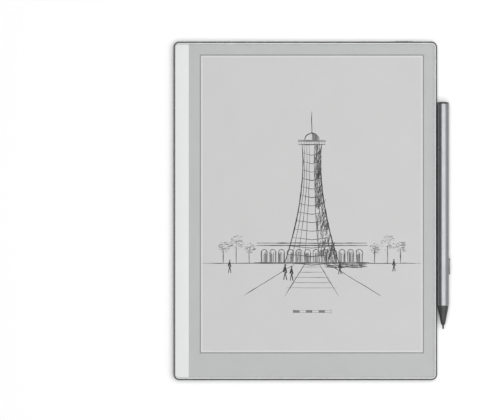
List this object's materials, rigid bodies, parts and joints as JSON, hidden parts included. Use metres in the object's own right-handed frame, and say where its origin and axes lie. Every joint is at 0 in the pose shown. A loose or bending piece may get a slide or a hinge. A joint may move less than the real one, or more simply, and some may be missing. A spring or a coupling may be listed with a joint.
{
  "type": "personal digital assistant",
  "caption": "Thin rectangular pen-input notepad with a paper-like screen, a wide left spine strip and a round stylus held along its right edge by magnets.",
  "frame": {"origin": "middle of the case's back face, which lies on the table", "axes": "+X across the case towards the stylus, +Y up the case towards the power button, +Z out of the screen"},
  "size_m": [0.1919, 0.2353, 0.0084],
  "materials": {
    "case_metal": "fine bead-blasted anodised, mid grey, polished rim",
    "back_finish": "matt light grey, very fine grain",
    "spine_plastic": "matt off-white",
    "lens": "matt etched front face",
    "border_print": "printed light grey",
    "tape": "black adhesive foam",
    "touch_film": "clear film",
    "paper_screen": "paper-like, light grey",
    "circuit_board": "green solder mask",
    "ribbon": "amber film over copper lines",
    "can_metal": "tinned steel",
    "chip": "black epoxy",
    "graphite": "dark graphite foil",
    "socket": "cream plastic",
    "screw_steel": "zinc plated",
    "battery_foil": "laminated foil",
    "inlet_metal": "drawn steel",
    "inlet_plastic": "black plastic with contacts",
    "speaker_box": "black plastic",
    "foam": "black foam",
    "antenna_copper": "copper on film",
    "switch_body": "black plastic",
    "magnet": "nickel plated",
    "button_metal": "fine satin anodised",
    "stylus_metal": "satin anodised, silver",
    "stylus_dark": "dark grey plastic",
    "ferrite": "sintered",
    "coil_copper": "enamelled copper",
    "sensor_body": "moulded plastic",
    "frame_plastic": "dark plastic",
    "key_metal": "satin dark grey",
    "nib_plastic": "black plastic"
  },
  "bodies": {
    "tablet": {"mid_frame": "case_metal", "rear_cover": "back_finish", "rear_tape": "tape", "spine_trim": "spine_plastic", "cover_lens": "lens", "lens_mask": "border_print", "lens_tape": "tape", "digitizer_board": "circuit_board", "epaper_panel": "paper_screen", "touch_sensor": "touch_film", "display_flex": "ribbon", "touch_flex": "ribbon", "digitizer_flex": "ribbon", "main_board": "circuit_board", "processor_shield": "can_metal", "power_shield": "can_metal", "processor_chip": "chip", "memory_chips": "chip", "wireless_module": "can_metal", "graphite_sheet": "graphite", "flex_sockets": "socket", "board_screws": "screw_steel", "battery_cell": "battery_foil", "battery_tape": "tape", "battery_guard_board": "circuit_board", "battery_lead": "ribbon", "usb_shell": "inlet_metal", "usb_tongue": "inlet_plastic", "speaker_left": "speaker_box", "speaker_right": "speaker_box", "speaker_gaskets": "foam", "microphones": "can_metal", "antennas": "antenna_copper", "button_switch": "switch_body", "button_flex": "ribbon", "case_magnets": "magnet"},
    "button": {"power_button": "button_metal"},
    "stylus": {"stylus_barrel": "stylus_metal", "stylus_end_cap": "stylus_dark", "stylus_cone": "stylus_dark", "stylus_ferrite": "ferrite", "stylus_coil": "coil_copper", "stylus_pressure_sensor": "sensor_body", "stylus_inner_frame": "frame_plastic", "stylus_board": "circuit_board", "stylus_magnets": "magnet", "stylus_key_switch": "switch_body"},
    "key": {"stylus_key": "key_metal"},
    "nib": {"stylus_nib": "nib_plastic", "stylus_nib_holder": "frame_plastic"}
  },
  "joints": [
    {"name": "power_button_press", "type": "slide", "parent": "tablet", "child": "button", "axis": [0, -1, 0], "range_m": [0, 0.0003], "stiffness_N_per_m": 2000},
    {"name": "stylus_release", "type": "slide", "parent": "tablet", "child": "stylus", "axis": [1, 0, 0], "range_m": [0, 0.06]},
    {"name": "stylus_key_press", "type": "slide", "parent": "stylus", "child": "key", "axis": [-1, 0, 0], "range_m": [0, 0.0004], "stiffness_N_per_m": 1500},
    {"name": "nib_press", "type": "slide", "parent": "stylus", "child": "nib", "axis": [0, 1, 0], "range_m": [0, 0.0005], "stiffness_N_per_m": 2000}
  ]
}
